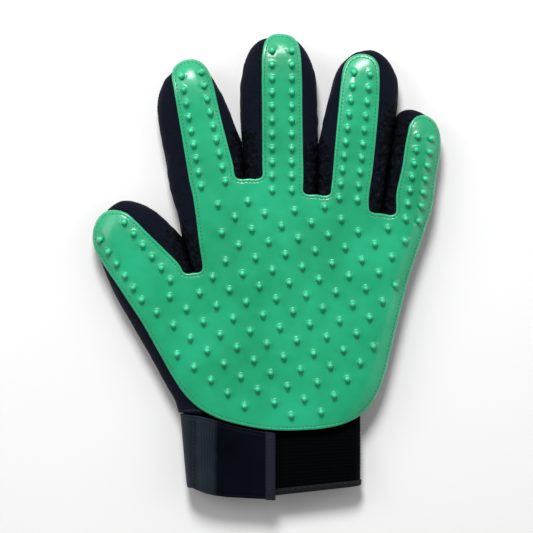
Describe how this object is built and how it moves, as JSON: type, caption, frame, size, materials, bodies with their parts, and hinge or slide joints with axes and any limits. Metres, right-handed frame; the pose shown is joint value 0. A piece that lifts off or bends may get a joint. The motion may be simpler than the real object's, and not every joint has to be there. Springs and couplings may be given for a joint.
{
  "type": "pet grooming glove",
  "caption": "Left-hand pet grooming glove with a nubbed rubber palm and fingers, stretch fabric sides, mesh back, ribbed elastic cuff and a hook-and-loop wrist strap.",
  "frame": {"origin": "centre of the glove on the surface that its back lies on", "axes": "+Y from the wrist to the middle fingertip, +X to the little-finger side, +Z out of the rubber palm"},
  "size_m": [0.1803, 0.2394, 0.0214],
  "materials": {
    "rubber_pad": "moulded, satin gloss, translucent green",
    "stretch_fabric": "smooth stretch knit, matt",
    "back_mesh": "open air mesh, matt",
    "ribbed_elastic": "fine ribbed elastic, matt",
    "edge_binding": "folded binding tape",
    "strap_webbing": "brushed loop-faced strap with a slight sheen",
    "strap_hem": "folded and stitched strap end",
    "loop_fabric": "fluffy loop pile",
    "hook_plastic": "fine moulded hooks"
  },
  "bodies": {
    "palm": {"palm_pad": "rubber_pad", "palm_sidewall": "stretch_fabric", "palm_back": "back_mesh", "cuff_seam": "ribbed_elastic", "cuff_band": "ribbed_elastic", "cuff_hem": "edge_binding", "loop_patch": "loop_fabric", "strap_anchor": "strap_webbing"},
    "thumb_lower": {"thumb_lower_pad": "rubber_pad", "thumb_lower_sidewall": "stretch_fabric", "thumb_lower_back": "back_mesh"},
    "thumb_tip": {"thumb_tip_pad": "rubber_pad", "thumb_tip_sidewall": "stretch_fabric", "thumb_tip_back": "back_mesh"},
    "index_lower": {"index_lower_pad": "rubber_pad", "index_lower_sidewall": "stretch_fabric", "index_lower_back": "back_mesh"},
    "index_middle": {"index_middle_pad": "rubber_pad", "index_middle_sidewall": "stretch_fabric", "index_middle_back": "back_mesh"},
    "index_tip": {"index_tip_pad": "rubber_pad", "index_tip_sidewall": "stretch_fabric", "index_tip_back": "back_mesh"},
    "middle_lower": {"middle_lower_pad": "rubber_pad", "middle_lower_sidewall": "stretch_fabric", "middle_lower_back": "back_mesh"},
    "middle_middle": {"middle_middle_pad": "rubber_pad", "middle_middle_sidewall": "stretch_fabric", "middle_middle_back": "back_mesh"},
    "middle_tip": {"middle_tip_pad": "rubber_pad", "middle_tip_sidewall": "stretch_fabric", "middle_tip_back": "back_mesh"},
    "ring_lower": {"ring_lower_pad": "rubber_pad", "ring_lower_sidewall": "stretch_fabric", "ring_lower_back": "back_mesh"},
    "ring_middle": {"ring_middle_pad": "rubber_pad", "ring_middle_sidewall": "stretch_fabric", "ring_middle_back": "back_mesh"},
    "ring_tip": {"ring_tip_pad": "rubber_pad", "ring_tip_sidewall": "stretch_fabric", "ring_tip_back": "back_mesh"},
    "pinky_lower": {"pinky_lower_pad": "rubber_pad", "pinky_lower_sidewall": "stretch_fabric", "pinky_lower_back": "back_mesh"},
    "pinky_middle": {"pinky_middle_pad": "rubber_pad", "pinky_middle_sidewall": "stretch_fabric", "pinky_middle_back": "back_mesh"},
    "pinky_tip": {"pinky_tip_pad": "rubber_pad", "pinky_tip_sidewall": "stretch_fabric", "pinky_tip_back": "back_mesh"},
    "strap": {"strap_band": "strap_webbing", "strap_end_hem": "strap_hem", "strap_hook_patch": "hook_plastic"}
  },
  "joints": [
    {"name": "thumb_root_bend", "type": "hinge", "parent": "palm", "child": "thumb_lower", "pos_m": [-0.0573, -0.0074, 0.0184], "axis": [0.8192, 0.5736, 0], "range_deg": [0, 35]},
    {"name": "thumb_tip_bend", "type": "hinge", "parent": "thumb_lower", "child": "thumb_tip", "pos_m": [-0.0659, 0.00489, 0.0184], "axis": [0.8192, 0.5736, 0], "range_deg": [0, 45]},
    {"name": "index_root_bend", "type": "hinge", "parent": "palm", "child": "index_lower", "pos_m": [-0.0279, 0.0464, 0.0184], "axis": [0.9806, 0.1959, 0], "range_deg": [0, 60]},
    {"name": "index_middle_bend", "type": "hinge", "parent": "index_lower", "child": "index_middle", "pos_m": [-0.03211, 0.06746, 0.0184], "axis": [0.9806, 0.1959, 0], "range_deg": [0, 70]},
    {"name": "index_tip_bend", "type": "hinge", "parent": "index_middle", "child": "index_tip", "pos_m": [-0.03631, 0.08849, 0.0184], "axis": [0.9806, 0.1959, 0], "range_deg": [0, 42]},
    {"name": "middle_root_bend", "type": "hinge", "parent": "palm", "child": "middle_lower", "pos_m": [0.0079, 0.0503, 0.0184], "axis": [1, 0, 0], "range_deg": [0, 60]},
    {"name": "middle_middle_bend", "type": "hinge", "parent": "middle_lower", "child": "middle_middle", "pos_m": [0.0079, 0.07168, 0.0184], "axis": [1, 0, 0], "range_deg": [0, 70]},
    {"name": "middle_tip_bend", "type": "hinge", "parent": "middle_middle", "child": "middle_tip", "pos_m": [0.0079, 0.09308, 0.0184], "axis": [1, 0, 0], "range_deg": [0, 42]},
    {"name": "ring_root_bend", "type": "hinge", "parent": "palm", "child": "ring_lower", "pos_m": [0.0422, 0.0387, 0.0184], "axis": [0.994, -0.1097, 0], "range_deg": [0, 60]},
    {"name": "ring_middle_bend", "type": "hinge", "parent": "ring_lower", "child": "ring_middle", "pos_m": [0.04456, 0.06008, 0.0184], "axis": [0.994, -0.1097, 0], "range_deg": [0, 70]},
    {"name": "ring_tip_bend", "type": "hinge", "parent": "ring_middle", "child": "ring_tip", "pos_m": [0.04692, 0.08145, 0.0184], "axis": [0.994, -0.1097, 0], "range_deg": [0, 42]},
    {"name": "pinky_root_bend", "type": "hinge", "parent": "palm", "child": "pinky_lower", "pos_m": [0.0752, 0.0282, 0.0184], "axis": [0.9888, -0.1495, 0], "range_deg": [0, 60]},
    {"name": "pinky_middle_bend", "type": "hinge", "parent": "pinky_lower", "child": "pinky_middle", "pos_m": [0.07735, 0.04239, 0.0184], "axis": [0.9888, -0.1495, 0], "range_deg": [0, 70]},
    {"name": "pinky_tip_bend", "type": "hinge", "parent": "pinky_middle", "child": "pinky_tip", "pos_m": [0.07943, 0.05618, 0.0184], "axis": [0.9888, -0.1495, 0], "range_deg": [0, 42]},
    {"name": "strap_peel", "type": "hinge", "parent": "palm", "child": "strap", "pos_m": [-0.036, -0.098, 0.0168], "axis": [0, -1, 0], "range_deg": [0, 170]}
  ],
  "couplings": [
    {"joint": "index_tip_bend", "follows": "index_middle_bend", "ratio": 0.6},
    {"joint": "middle_tip_bend", "follows": "middle_middle_bend", "ratio": 0.6},
    {"joint": "ring_tip_bend", "follows": "ring_middle_bend", "ratio": 0.6},
    {"joint": "pinky_tip_bend", "follows": "pinky_middle_bend", "ratio": 0.6}
  ]
}
